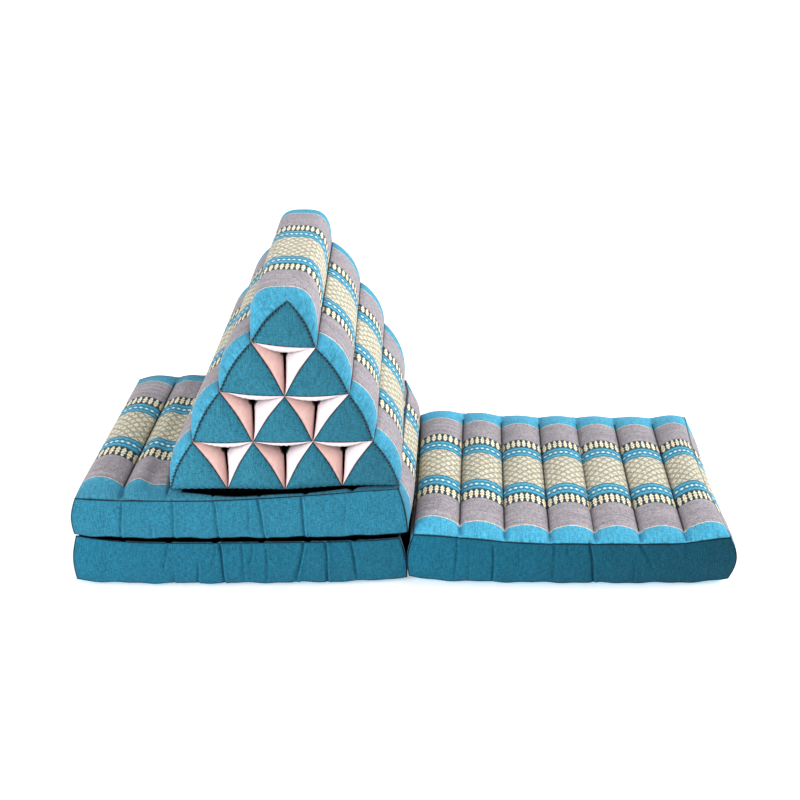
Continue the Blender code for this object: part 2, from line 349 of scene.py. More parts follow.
def rod(name, sides, radius=1.0, length=1.0):
    """A cylinder blank with flat ends."""
    return fresh(bpy.ops.mesh.primitive_cylinder_add, name, vertices=sides, radius=radius,
                 depth=length, end_fill_type="NGON")


def choose_edges(piece, axis):
    """In edit mode, select the edges that run along one axis."""
    mesh = bmesh.from_edit_mesh(piece.data)
    for edge in mesh.edges:
        run = edge.verts[1].co - edge.verts[0].co
        edge.select_set(abs(run[axis]) > 0.99 * run.length)
    bmesh.update_edit_mesh(piece.data)


def choose_ends(piece):
    """Open a cylinder in edit mode and select its two end faces."""
    bpy.ops.object.mode_set(mode="EDIT")
    bpy.ops.mesh.select_mode(type="FACE")
    bpy.ops.mesh.select_all(action="DESELECT")
    mesh = bmesh.from_edit_mesh(piece.data)
    for face in mesh.faces:
        face.select_set(abs(face.normal.z) > 0.5)
    bmesh.update_edit_mesh(piece.data)


def cut_blank(piece, axis, steps):
    """Cut a blank into even slices along one axis, one subdivision for each factor."""
    bpy.ops.object.mode_set(mode="EDIT")
    bpy.ops.mesh.select_mode(type="EDGE")
    for step in steps:
        bpy.ops.mesh.select_all(action="DESELECT")
        choose_edges(piece, axis)
        bpy.ops.mesh.subdivide(number_cuts=step - 1)
    bpy.ops.object.mode_set(mode="OBJECT")


def read_all(items, name, kind, size=1):
    """One measure of all the corners, faces or loops of a mesh."""
    values = np.empty(len(items) * size, dtype=kind)
    items.foreach_get(name, values)
    return values.reshape(-1, size) if size > 1 else values


def corner_places(piece):
    """Coordinates of all corners of a mesh."""
    return read_all(piece.data.vertices, "co", float, 3)


def put_corners(piece, places):
    """Move all corners of a mesh."""
    piece.data.vertices.foreach_set("co", places.astype(np.float32).ravel())
    piece.data.update()


def corner_normals(piece):
    """Outward direction at every corner."""
    return read_all(piece.data.vertex_normals, "vector", np.float32, 3).astype(float)


def face_normals(piece):
    """Outward direction of every face."""
    return read_all(piece.data.polygon_normals, "vector", np.float32, 3)


def loop_table(piece):
    """Corner index and face index of every face corner."""
    corners = read_all(piece.data.loops, "vertex_index", np.int32)
    totals = read_all(piece.data.polygons, "loop_total", np.int32)
    return corners, np.repeat(np.arange(len(totals)), totals)


def lay_cloth(piece, name, along, across):
    """Give the piece a UV map in metres of cloth."""
    layer = piece.data.uv_layers.new(name=name)
    flat = np.stack((along, across), axis=1).astype(np.float32)
    layer.data.foreach_set("uv", flat.ravel())


def dress(piece, kinds, materials):
    """Fit the materials and give each face its own."""
    piece.data.materials.clear()
    for material in materials:
        piece.data.materials.append(material)
    piece.data.polygons.foreach_set("material_index", kinds.astype(np.int32))
    piece.data.polygons.foreach_set("use_smooth", np.ones(len(kinds), dtype=bool))
    piece.data.update()


# Mattress sections

def roll_wave(a):
    """0 in the sewn channels and 1 on the crests, for a from 0 to 1 along the section."""
    return np.abs(np.sin(math.pi * ROLLS * a)) ** ROLL_POWER


def pressed(x):
    """1 where the triangle lies on the section, fading to 0 beyond it."""
    left = smooth((x - PRESSED_LEFT) / PRESSED_FADE + 1.0)
    right = smooth((PRESSED_RIGHT - x) / PRESSED_FADE + 1.0)
    return left * right


def seam_distance(b):
    """Distance from the nearer of the front and back seams."""
    return np.minimum(b, 1.0 - b) * WIDTH


def end_distance(section, a):
    """Distance from the nearer end."""
    return np.minimum(a, 1.0 - a) * section.length


def place_along(section, a):
    """Place along the section, from the hinge."""
    return section.left + a * section.length


def channel_offset(section, a):
    """Signed distance to the nearest sewn channel."""
    nearest = np.clip(np.rint(a * ROLLS), 1, ROLLS - 1) / ROLLS
    return (a - nearest) * section.length


def top_height(section, a, b):
    """Height of the section's upper cloth."""
    seam = between((section.seam, section.seam_back), b)
    seam = seam + section.seam_lift_left * np.maximum(0.0, 1.0 - a / FOLD_REACH) ** 2
    lift = section.seam_lift_right * (1.0 - LIFT_FADE * b)
    seam = seam + lift * np.maximum(0.0, 1.0 - (1.0 - a) / HINGE_REACH) ** HINGE_POWER
    from_seam = seam_distance(b)
    rise = shoulder(from_seam, SHOULDER)
    ends = shoulder(end_distance(section, a), SHOULDER / 2)
    low = between((section.valley, section.valley_back), b)
    valley = seam + (low - seam) * rise * ends
    crest = between((section.crest, section.crest_back), b) + CROWN * np.sin(math.pi * b)
    z = valley + (crest - valley) * rise * roll_wave(a)
    propped = section.rise_left * smooth(1.0 - a / RISE_REACH[0])
    propped = propped + section.rise_right * smooth(1.0 - (1.0 - a) / RISE_REACH[1])
    if section.name == "mattress_upper":
        x = place_along(section, a)
        depth = (b * WIDTH - TRIANGLE_FRONT) / (TRIANGLE_BACK - TRIANGLE_FRONT)
        under = FOOT_FRONT + (FOOT_BACK - FOOT_FRONT) * depth - CLOTH_GAP
        under = np.minimum(under, seam + (under - seam) * shoulder(from_seam, PRESSED_REACH))
        return np.minimum(z, z + (under - z) * pressed(x))
    return propped + np.minimum(z, seam + (section.limit - seam) * shoulder(from_seam, LOWER_REACH))


def under_height(section, a, b):
    """Height of the section's lower cloth, flat under each roll."""
    seam = section.under_seam
    rise = smooth(seam_distance(b) / UNDER_RISE)
    flat = np.minimum(1.0, np.abs(np.sin(math.pi * ROLLS * a)) / math.sin(math.pi * FLAT_FROM))
    ends = shoulder(end_distance(section, a), SHOULDER / 2)
    valley = seam + (section.under_valley - seam) * rise * ends
    return valley + (section.under_flat - valley) * rise * flat


def foot_wave(section, a, b):
    """Uneven lift of the lower cloth at the front and back seams."""
    x = place_along(section, a)
    wave = sum(share * np.sin(x * pitch + start) for share, pitch, start in FOOT_RIPPLES)
    near = 1.0 - smooth(seam_distance(b) / FOOT_REACH)
    return near * FOOT_WAVE * (0.5 * wave + 0.9 * np.abs(2.0 * a - 1.0) ** 14)


def section_shape(section, a, b, c):
    """Places of the box points (a, b, c) on the stuffed section, before its turn."""
    top = top_height(section, a, b)
    under = under_height(section, a, b) + foot_wave(section, a, b)
    z = under + (top - under) * c
    belly = np.sin(math.pi * c)
    tips = np.abs(2.0 * b - 1.0) ** CORNER_POWER
    corner_a = np.abs(2.0 * a - 1.0) ** CORNER_POWER
    ends = 1.0 - (2.0 * b - 1.0) ** 2
    sides = 1.0 - (2.0 * a - 1.0) ** 2
    left_out = section.left_bulge * belly * (1.0 - CORNER_TUCK * tips) + LEFT_FOOT * (1.0 - c)
    left_out = left_out + section.left_back * (0.18 + b ** 2)
    right_out = section.right_bulge * belly * (1.0 - section.right_tuck * tips)
    right_out = right_out + section.right_foot * (1.0 - c)
    right_out = right_out + section.right_back * b ** 2 - section.right_draw * ends
    x = place_along(section, a)
    x = x - left_out * np.maximum(0.0, 1.0 - a * ROLLS / END_REACH) ** 2
    x = x + right_out * np.maximum(0.0, 1.0 - (1.0 - a) * ROLLS / END_REACH) ** 2
    if section.name == "mattress_upper":
        rounded = smooth(1.0 - (1.0 - b) / BACK_ROUND[1]) * smooth(1.0 - (1.0 - a) / BACK_ROUND[0])
        rounded = rounded * c
        x = x - BACK_CORNER[0] * rounded
        z = z - BACK_CORNER[1] * rounded
    side = FRONT_SWELL * sides + FRONT_BULGE * belly * (1.0 - CORNER_TUCK * corner_a)
    side = side + FRONT_FOOT * (1.0 - c) - CORNER_PULL * corner_a
    side = side - VALLEY_DRAW * (1.0 - roll_wave(a)) * belly
    return x, -side + (WIDTH + side + side) * b, z


def long_lines(section):
    """Grid lines along the section: close at the channels and around the folds."""
    roll = crowded(np.arange(ROLL_STEPS) / ROLL_STEPS, 0.6)
    lines = [(index + place) / ROLLS for index in range(ROLLS) for place in roll] + [1.0]
    for fold in map(Fold._make, FRONT_FOLDS[section.name]):
        middle = ((fold.top + fold.foot) / 2 - section.left) / section.length
        lines += [middle + line / section.length for line in FOLD_LINES]
    lines = sorted(line for line in lines if 0.0 <= line <= 1.0)
    kept = [lines[0]]
    for line in lines[1:]:
        if line - kept[-1] > LINE_GAP or line == 1.0:
            kept.append(line)
    wanted = ROLLS * SECTION_STEPS + 1
    while len(kept) < wanted:
        widest = int(np.argmax(np.diff(kept)))
        kept.insert(widest + 1, (kept[widest] + kept[widest + 1]) / 2)
    return np.array(kept[:wanted - 1] + [1.0])


def cross_lines():
    """Grid lines from the front seam to the back one, close at both."""
    edge = np.array(EDGE_STEPS) / WIDTH
    middle = np.linspace(edge[-1], 1.0 - edge[-1], MIDDLE_STEPS + 1)
    return np.concatenate((edge[:-1], middle, (1.0 - edge[:-1])[::-1]))


def wall_lines():
    """Grid lines up a wall, closer at its two seams."""
    return crowded(np.linspace(0.0, 1.0, WALL_STEPS + 1), 0.5)


def fold_offset(section, fold, a, c):
    """Signed distance to a pucker fold, and how much of it there is at that height."""
    run = np.clip((fold.start - c) / (fold.start - fold.end), 0.0, 1.0)
    place = fold.top + (fold.foot - fold.top) * run + FOLD_BEND * np.sin(math.pi * 1.5 * run)
    inside = smooth((fold.start - c) / 0.05 + 0.9) * smooth((c - fold.end) / 0.12 + 0.6)
    return place_along(section, a) - place, inside


def fold_press(section, a, c, share):
    """How far the pucker folds of one wall stand out or in."""
    press = np.zeros(len(a))
    for fold in map(Fold._make, FRONT_FOLDS[section.name]):
        offset, inside = fold_offset(section, fold, a, c)
        offset = offset / FOLD_WIDTH
        groove = -np.exp(-(offset * 1.5) ** 2)
        ridge = 0.55 * np.exp(-((offset - 1.35) / 0.8) ** 2)
        press += fold.depth * FOLD_GAIN * share * inside * (groove + ridge)
    return press


def make_section(section, materials):
    """A box blank cut into a fine grid, stuffed, drawn in at its channels and folded."""
    piece = fresh(bpy.ops.mesh.primitive_cube_add, f"{section.name}_cloth",
                  size=1.0, location=(0.5, 0.5, 0.5))
    along, cross, up = long_lines(section), cross_lines(), wall_lines()
    cut_blank(piece, 2, (WALL_STEPS,))
    cut_blank(piece, 0, (ROLLS, SECTION_STEPS))
    cut_blank(piece, 1, (len(cross) - 1,))
    blank = corner_places(piece)
    a = along[np.rint(blank[:, 0] * (len(along) - 1)).astype(int)]
    b = cross[np.rint(blank[:, 1] * (len(cross) - 1)).astype(int)]
    c = up[np.rint(blank[:, 2] * (len(up) - 1)).astype(int)]
    facing = face_normals(piece)
    corners, faces = loop_table(piece)
    lay_section_cloth(piece, section, facing[faces], a[corners], b[corners], c[corners])
    x, y, z = section_shape(section, a, b, c)
    put_corners(piece, turned(x, y, z, section.turn))
    normals = corner_normals(piece)
    press = np.where(b == 0.0, fold_press(section, a, c, 1.0), 0.0)
    press += np.where(b == 1.0, fold_press(section, a, c, BACK_FOLD_SHARE), 0.0)
    press += channel_press(section, a, b, c)
    put_corners(piece, corner_places(piece) + normals * press[:, None])
    plain = np.abs(facing[:, 1]) > 0.5
    dress(piece, np.where(plain, 1, 0), materials)
    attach(piece, "root")
    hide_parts(section.name)
    return piece


def channel_press(section, a, b, c):
    """Sharp pull of the channel stitching, and the gathers where it stops short of the seam."""
    offset = channel_offset(section, a)
    from_seam = seam_distance(b)
    sewn = smooth((from_seam - CHANNEL_END) / 0.012)
    on_top = np.where(c == 1.0, 1.0, 0.0)
    pull = -CHANNEL_PULL * np.exp(-(offset / CHANNEL_WIDTH) ** 2) * sewn
    gather = smooth(from_seam / 0.006) * smooth((CHANNEL_END + 0.006 - from_seam) / 0.014)
    lean = offset - 0.10 * (CHANNEL_END - from_seam)
    fan = -np.exp(-(lean / 0.0038) ** 2) + 0.6 * np.exp(-((lean - 0.008) / 0.004) ** 2)
    gather = gather * np.where(b < 0.5, FRONT_GATHER, BACK_GATHER)
    if section.name == "mattress_upper":
        gather = gather * (1.0 - pressed(place_along(section, a)))
    return on_top * (pull + gather * fan)


def pressed_shade(section, facing, a, b, c):
    """Distance in front of where another piece lies against the cloth, below 0 behind it, where the
    cloth gets painted shadow, near black.
    """
    x = place_along(section, a)
    y = b * WIDTH
    from_edge = np.minimum(np.minimum(y, WIDTH - y), end_distance(section, a))
    top, under = facing[:, 2] > 0.5, facing[:, 2] < -0.5
    clear = np.ones(len(a))
    if section.name == "mattress_upper":
        # Painted shadow on the top under the triangle's front, and on the underside away from its edges
        aside = x - GAP_MIDDLE
        start = GAP_START + np.where(aside < 0.0, GAP_RISE_LEFT, GAP_RISE_RIGHT) * aside ** 2
        start = start + 0.0010 * np.sin(x * 47.0)
        right = GAP_RIGHT + (GAP_RIGHT_BACK - GAP_RIGHT) * b
        sides = np.maximum(GAP_LEFT - x, x - right)
        gap = np.maximum(np.maximum(start - y, y - TRIANGLE_BACK + 0.02), sides)
        clear = np.where(top, gap, clear)
        clear = np.where(under, 0.003 - from_edge, clear)
    if section.name == "mattress_lower":
        # Painted shadow over the top, which the upper section covers, except a strip along its edges,
        # and over the right end wall away from its front
        clear = np.where(top, 0.0026 - from_edge, clear)
        clear = np.where(facing[:, 0] > 0.5, 0.010 - y, clear)
    if section.name == "mattress_right":
        # Painted shadow on the left end wall by the hinge, away from its front and its top
        hinge = np.maximum(0.006 - y, (c - 0.80) * WALL_DROP)
        clear = np.where(facing[:, 0] < -0.5, hinge, clear)
    return np.clip(clear, HIDDEN_LIMIT, 1.0)


def fold_lines(section, a, c):
    """Signed distance to the nearest pucker fold of a wall, and how sharp it is there; these place the
    painted shade and highlight of the folds.
    """
    nearest = np.full(len(a), 1.0)
    strength = np.zeros(len(a))
    for fold in map(Fold._make, FRONT_FOLDS[section.name]):
        offset, inside = fold_offset(section, fold, a, c)
        own = inside * fold.depth / FOLD_DEEPEST * smooth(2.0 - np.abs(offset) / FOLD_CLEAR)
        own = own * (0.70 + 0.30 * np.sin(11.0 * c + 40.0 * fold.top))
        closer = (np.abs(offset) < np.abs(nearest)) & (own > 0.0)
        nearest = np.where(closer, offset, nearest)
        strength = np.where(closer, own, strength)
    return nearest, strength


def lay_section_cloth(piece, section, facing, a, b, c):
    """Cloth maps of a section: where the weave runs, how far the sewn lines are for the painted shade
    of seams and channels, painted shadow where another piece covers the cloth, and the pucker folds for
    their painted shade and highlight.
    """
    from_middle = b * WIDTH - section.cloth_middle
    length = a * section.length * ROLL_TAKE_UP
    drop = (1.0 - c) * WALL_DROP
    along = from_middle.copy()
    across = length.copy()
    left, right = facing[:, 0] < -0.5, facing[:, 0] > 0.5
    across[left] = -drop[left]
    across[right] = length[right] + drop[right]
    walls = np.abs(facing[:, 1]) > 0.5
    along[walls] = c[walls] * WALL_DROP
    lay_cloth(piece, "cloth", along, across)
    from_seam = seam_distance(b)
    from_end = end_distance(section, a)
    to_seam = np.minimum(from_seam + SEAM_RISE * shoulder(from_seam, SHOULDER), from_end)
    ends = left | right
    drop_seam = np.minimum(c, 1.0 - c) * WALL_DROP
    to_seam[ends] = np.minimum(drop_seam * END_SEAM, seam_distance(b))[ends]
    to_seam[walls] = np.minimum(drop_seam, end_distance(section, a))[walls]
    to_channel = np.abs(channel_offset(section, a))
    # The painted channel shade thins out where the stitching stops short of the seam
    stop = smooth((CHANNEL_END + 0.004 - from_seam) / 0.012)
    to_channel = to_channel + 0.03 * stop
    to_channel[walls | ends] = NO_CHANNEL
    to_channel = np.minimum(to_channel, pressed_shade(section, facing, a, b, c))
    lay_cloth(piece, "sewing", to_seam, to_channel)
    nearest, strength = fold_lines(section, a, c)
    lay_cloth(piece, "folds", nearest, np.where(walls, strength, 0.0))


# Triangle blocks

def lattice(row, index, depth, fill):
    """Corners of the lattice: row 0 is the apex, depth 0 front to 1 back, fill 0 at a cap."""
    front, back = LATTICE_FRONT[row], LATTICE_BACK[row]
    aside = index - row / 2
    near = np.array((front.middle + front.step * aside, front.height))
    far = np.array((back.middle + back.step * aside, back.height))
    corner = blend(near, far, depth)
    corner[:, 1] += CORNER_LIFT.get((row, index), 0.0) * (1.0 - smooth(depth / FRONT_FADE))
    if 0 < row < ROWS and index in (0, row):
        outward = between(CREASE_RIGHT, depth) if index else -between(CREASE_LEFT, depth)
        corner[:, 0] += outward * fill
        corner[:, 1] += between(CREASE_UP, depth) * fill
    return corner


def wall_shape(kind, lens_drop, start, end, beyond, along, fill, depth):
    """Points of one wall of a block, straight at the cap and full where fill is 1."""
    run = end - start
    out = np.stack((run[:, 1], -run[:, 0]), axis=1)
    out /= np.linalg.norm(out, axis=1)[:, None]
    flat = start + run * along[:, None]
    wave = np.sin(math.pi * along)
    if kind == "bottom":
        return flat
    if kind == "outer":
        full = flat + out * (between(ROLL_BULGE, depth) * wave ** ROLL_FULLNESS)[:, None]
        cap = flat + out * (CAP_BULGE * wave)[:, None]
        return blend(cap, full, fill)
    cap = flat + out * (CAP_BULGE * 0.5 * wave)[:, None]
    if lens_drop > 0.0:
        lens = flat + out * (lens_drop * wave ** 0.6)[:, None]
        return blend(cap, lens, np.minimum(1.0, fill * LENS_QUICK))
    ridge = (start + end + beyond) / 3.0
    ridge[:, 1] += RIDGE_LIFT
    first = blend(start, ridge, 2.0 * along)
    second = blend(ridge, end, 2.0 * along - 1.0)
    full = np.where((along < 0.5)[:, None], first, second)
    return blend(cap, full, fill)


def wall_kind(row, index, side):
    """What a block's wall does: 0 bottom, 1 right side, 2 left side."""
    if side == 0:
        return "bottom" if row == ROWS else "inner"
    if side == 1:
        return "outer" if index == row else "inner"
    return "outer" if index == 1 else "inner"


def inner_walls(row, index):
    """Which of a block's three walls face an opening."""
    return np.array([wall_kind(row, index, side) == "inner" for side in range(3)])


def block_outline(row, index, side, along, fill, depth):
    """Points of a block's cross-section along one of its sides."""
    top = lattice(row - 1, index - 1, depth, fill)
    left = lattice(row, index - 1, depth, fill)
    right = lattice(row, index, depth, fill)
    middle = (top + left + right) / 3.0
    start, end = ((left, right), (right, top), (top, left))[side]
    next_corner = ((row + 1, index), (row - 1, index), (row - 1, index - 2))[side]
    beyond = lattice(min(next_corner[0], ROWS), next_corner[1], depth, fill)
    kind = wall_kind(row, index, side)
    raised = (index == 1) + (index == row)
    lens_drop = LENS_DEPTH + 0.5 * raised * CREASE_UP[0] if side == 0 else 0.0
    point = wall_shape(kind, lens_drop, start, end, beyond, along, fill, depth)
    if row == 1 and side > 0:
        t = (side + along) / 3.0
        turn = math.pi * (t - 1.0 / 3.0) * 1.5
        reach = np.abs(np.cos(turn)) ** ARCH_POWER + np.abs(np.sin(turn)) ** ARCH_POWER
        scale = reach ** (-1.0 / ARCH_POWER)
        centre = (left + right) / 2.0
        half_width = (right[:, 0] - left[:, 0]) / 2.0 * np.cos(turn) * scale
        height = between(ARCH_HEIGHT, depth) * np.sin(turn) * scale
        arch = centre + np.stack((half_width, height), axis=1)
        spread = np.minimum(1.0, np.minimum(t - 1.0 / 3.0, 1.0 - t) / ARCH_START)
        point = blend(point, arch, fill * spread)
    inward = middle - point
    inward *= CLOTH_GAP / np.linalg.norm(inward, axis=1)[:, None]
    if kind == "bottom":
        inward[:, 1] = 0.0
    return point + inward, middle


def block_lines():
    """Grid lines along a block, close at its two caps."""
    near = np.array(CAP_STEPS) + TRIANGLE_FRONT
    far = TRIANGLE_BACK - np.array(CAP_STEPS)
    middle = np.linspace(near[-1], far[-1], LENGTH_STEPS + 1)
    return np.concatenate((near[:-1], middle, far[:-1][::-1]))


def make_block(row, index, materials):
    """A round bolster blank pressed into its triangular place, with its two sewn-in caps."""
    name = f"block_{row}_{index}"
    around = 3 * SIDE_STEPS
    piece = rod(f"{name}_cloth", around)
    lines = block_lines()
    cut_blank(piece, 2, (len(lines) - 1,))
    inset_caps(piece)
    blank = corner_places(piece)
    radius = np.hypot(blank[:, 0], blank[:, 1])
    turn = np.arctan2(blank[:, 0], blank[:, 1]) / math.tau % 1.0
    step = np.rint(turn * around).astype(int) % around
    side = step // SIDE_STEPS
    even = (step % SIDE_STEPS) / SIDE_STEPS
    along = crowded(even, 0.5)
    y = lines[np.rint((blank[:, 2] + 0.5) * (len(lines) - 1)).astype(int)]
    depth = (y - TRIANGLE_FRONT) / (TRIANGLE_BACK - TRIANGLE_FRONT)
    from_cap = np.minimum(y - TRIANGLE_FRONT, TRIANGLE_BACK - y)
    fill = shoulder(from_cap, CAP_SHOULDER)
    outline = np.empty((len(blank), 2))
    middle = np.empty((len(blank), 2))
    for one in range(3):
        chosen = side == one
        outline[chosen], middle[chosen] = block_outline(
            row, index, one, along[chosen], fill[chosen], depth[chosen])
    on_cap = radius < 0.999
    place = np.where(on_cap[:, None], blend(middle, outline, radius), outline)
    crown = np.where(on_cap, CAP_CROWN * (1.0 - radius ** 2), 0.0)
    rim = 1.0 - np.minimum(radius, 1.0)
    pucker = CAP_PUCKER * np.sin(math.tau * (step / around * CAP_PUCKERS + 0.7 * row + index))
    crown = crown + np.where(on_cap, pucker * swell(rim, PUCKER_PEAK), 0.0)
    deep = y + np.where(depth < 0.5, -crown, crown)
    facing = face_normals(piece)
    corners, faces = loop_table(piece)
    lay_block_cloth(piece, row, index, facing, corners, faces, along, side, y, place, rim, from_cap)
    put_corners(piece, turned(place[:, 0], deep, place[:, 1], STACK_TURN))
    inner_wall = inner_walls(row, index)[side]
    gather = ROLL_GATHER * np.sin(math.tau * (step / around * ROLL_GATHERS + 0.3 * index))
    gather = np.where(on_cap, 0.0, gather * swell(from_cap, GATHER_PEAK))
    gather *= np.sin(math.pi * along) * np.where(inner_wall, INNER_GATHER, 1.0)
    put_corners(piece, corner_places(piece) + corner_normals(piece) * gather[:, None])
    dress(piece, block_materials(piece, row, index, facing, corners, faces, side), materials)
    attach(piece, "root")
    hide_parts(name)
    return piece


def inset_caps(piece):
    """Rings on both end faces, down to a small middle."""
    choose_ends(piece)
    for ring in CAP_RINGS:
        bpy.ops.mesh.inset(thickness=ring, use_even_offset=False)
    bpy.ops.mesh.poke()
    bpy.ops.object.mode_set(mode="OBJECT")


def face_sides(piece, corners, faces, side):
    """The side of the block that each wall face belongs to."""
    count = len(piece.data.polygons)
    lowest = np.full(count, 9)
    highest = np.full(count, -1)
    np.minimum.at(lowest, faces, side[corners])
    np.maximum.at(highest, faces, side[corners])
    return np.where((lowest == 0) & (highest == 2), 2, lowest)


def block_materials(piece, row, index, facing, corners, faces, side):
    """0 banded, 1 cap, 2 white tunnel, 3 plain foot, 4 a darker shaded copy of the tunnel cloth,
    painted shade, on the right-hand walls.
    """
    own = face_sides(piece, corners, faces, side)
    table = np.array([{"outer": 0, "inner": 2, "bottom": 3}[wall_kind(row, index, one)]
                      for one in range(3)])
    kinds = table[own]
    # The right-hand inner walls take the shaded copy of the tunnel cloth: painted shade
    kinds[(own == 1) & (kinds == 2)] = 4
    kinds[np.abs(facing[:, 2]) > 0.5] = 1
    return kinds


def lay_block_cloth(piece, row, index, facing, corners, faces, along, side, y, place, rim, from_cap):
    """Cloth maps of a block: where the weave runs, how far the sewn lines are for the painted shade of
    the seams, and painted shade along the meeting line of the tunnel walls and deep inside the tunnels.
    """
    own = face_sides(piece, corners, faces, side)[faces]
    on_cap = (np.abs(facing[:, 2]) > 0.5)[faces]
    share = along[corners]
    share = np.where(side[corners] == own, share, 1.0)
    run = y[corners] - TRIANGLE_MIDDLE
    cross = (share + own) * SIDE_CLOTH + 0.31 * row + 0.11 * index
    run = np.where(on_cap, place[corners][:, 1], run)
    cross = np.where(on_cap, place[corners][:, 0], cross)
    lay_cloth(piece, "cloth", run, cross)
    to_edge = np.minimum(share, 1.0 - share) * SIDE_CLOTH
    if row == 1:
        arch = np.where(own == 1, share, 1.0 - share) * SIDE_CLOTH
        to_edge = np.where(own == 0, to_edge, arch)
    inner = inner_walls(row, index)[own]
    fill = shoulder(from_cap[corners], CAP_SHOULDER)
    # Painted shade in the tunnels: black near the meeting line of the walls, and everywhere beyond a
    # depth from the caps
    to_ridge = np.abs(share - 0.5) * SIDE_CLOTH * 0.5 + RIDGE_FADE * (1.0 - fill) - RIDGE_DARK
    slit = np.where(own == 1, share < 0.5, share > 0.5)
    deep = np.where(own == 0, LENS_REACH, np.where(slit, SLIT_REACH, TUNNEL_REACH))
    to_ridge = np.maximum(np.minimum(to_ridge, deep - from_cap[corners]), HIDDEN_LIMIT)
    rise = np.where(inner, TUNNEL_RISE, SEAM_RISE) * fill
    # Seam line round the caps: the stitched seam with painted shade beside it
    to_seam = np.where(on_cap, rim[corners] * CAP_SEAM, from_cap[corners] + rise)
    to_channel = np.where(on_cap, NO_CHANNEL, np.where(inner, to_ridge, to_edge))
    lay_cloth(piece, "sewing", to_seam, to_channel)
    lay_cloth(piece, "folds", np.ones(len(corners)), np.zeros(len(corners)))


def make_end_thread(section, material):
    """Overcast thread standing proud along the top seam at the section's right end."""
    piece = rod(f"{section.name}_thread", 6)
    cut_blank(piece, 2, (THREAD_STEPS,))
    blank = corner_places(piece)
    b = 0.5 + THREAD_SHARE * blank[:, 2]
    end = np.ones(len(b))
    x, y, z = section_shape(section, end, b, end)
    radius = THREAD_RADIUS * (1.0 + 0.3 * np.sin(math.tau * y / STITCH_PITCH))
    put_corners(piece, turned(x + radius * blank[:, 0], y, z - radius * blank[:, 1], section.turn))
    dress(piece, np.zeros(len(piece.data.polygons)), (material,))
    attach(piece, "root")
    return piece


# Stitches round the caps

def cap_stitches(depth):
    """Place and direction of each stitch along the outer seams of the caps on one face."""
    found = []
    along = np.linspace(0.0, 1.0, SEAM_POINTS)
    level = np.full(SEAM_POINTS, depth)
    for row, index, side in ((*block, side) for block in BLOCKS for side in (1, 2)):
        if wall_kind(row, index, side) != "outer":
            continue
        outline, _ = block_outline(row, index, side, along, np.zeros(SEAM_POINTS), level)
        run = np.linalg.norm(np.diff(outline, axis=0), axis=1)
        length = np.concatenate(((0.0,), np.cumsum(run)))
        count = int(length[-1] / STITCH_PITCH)
        wanted = (np.arange(count) + 0.5) * length[-1] / count
        here, next_one = (np.stack([np.interp(wanted + step, length, side_of) for side_of in outline.T],
                                   axis=1) for step in (0.0, STITCH_LOOK))
        ahead = next_one - here
        ahead /= np.linalg.norm(ahead, axis=1)[:, None] + 1e-9
        found += zip(here, ahead)
    return found


def make_stitches(name, depth, material):
    """Slanted overcast stitches along the outer seams of all the caps on one face."""
    pattern = rod("one_stitch", 6, STITCH_THICKNESS, STITCH_LENGTH)
    choose_ends(pattern)
    bpy.ops.mesh.extrude_region_move(TRANSFORM_OT_translate={"value": (0.0, 0.0, 0.0)})
    bpy.ops.transform.resize(value=STITCH_TIPS)
    bpy.ops.object.mode_set(mode="OBJECT")
    shape = corner_places(pattern)
    cap_y, out = (TRIANGLE_FRONT, -1.0) if depth < 0.5 else (TRIANGLE_BACK, 1.0)
    bend = (shape[:, 2] / STITCH_LENGTH) ** 2 * STITCH_BEND
    deep = cap_y + out * (STITCH_PROUD - bend + shape[:, 1])
    copies = []
    for number, (place, ahead) in enumerate(cap_stitches(depth)):
        inward = np.array((-ahead[1], ahead[0]))
        slant = STITCH_SLANT + math.sin(number * STITCH_TURN) * STITCH_WOBBLE
        axis = inward * math.cos(slant) + ahead * math.sin(slant)
        across = np.array((-axis[1], axis[0]))
        middle = place + inward * STITCH_INSET
        spot = middle + shape[:, 2:3] * axis + shape[:, 0:1] * across
        copy = pattern.copy()
        copy.data = pattern.data.copy()
        bpy.context.scene.collection.objects.link(copy)
        put_corners(copy, turned(spot[:, 0], deep, spot[:, 1], STACK_TURN))
        copies.append(copy)
    bpy.ops.object.select_all(action="DESELECT")
    for copy in copies:
        copy.select_set(True)
    bpy.context.view_layer.objects.active = copies[0]
    bpy.ops.object.join()
    piece = bpy.context.active_object
    piece.name = name
    bpy.data.objects.remove(pattern, do_unlink=True)
    bpy.ops.object.mode_set(mode="EDIT")
    bpy.ops.mesh.select_all(action="SELECT")
    bpy.ops.mesh.normals_make_consistent(inside=False)
    bpy.ops.object.mode_set(mode="OBJECT")
    dress(piece, np.zeros(len(piece.data.polygons)), (material,))
    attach(piece, "root")
    return piece


# Finishes

def swatch(red, green, blue):
    """Linear colour from the 0 to 255 values of a colour card: the cloth's dyes and thread, and the
    shaded copies that carry painted shade.
    """
    linear = []
    for value in (red, green, blue):
        share = value / 255
        linear.append(share / 12.92 if share <= 0.04045 else ((share + 0.055) / 1.055) ** 2.4)
    return (*linear, 1.0)


TURQUOISE = swatch(72, 168, 202)
TURQUOISE_DARK = swatch(14, 84, 106)
TEAL = swatch(12, 58, 68)
LEAF_CREAM = swatch(248, 236, 206)
TAN = swatch(200, 160, 112)
DOT_WHITE = swatch(246, 246, 238)
LATTICE_CREAM = swatch(230, 222, 198)
LATTICE_GREY = swatch(136, 137, 126)
LATTICE_CORE = swatch(212, 184, 140)
MAUVE = swatch(170, 163, 170)
MAUVE_RIB = swatch(146, 139, 146)
LINE_CREAM = swatch(232, 218, 188)
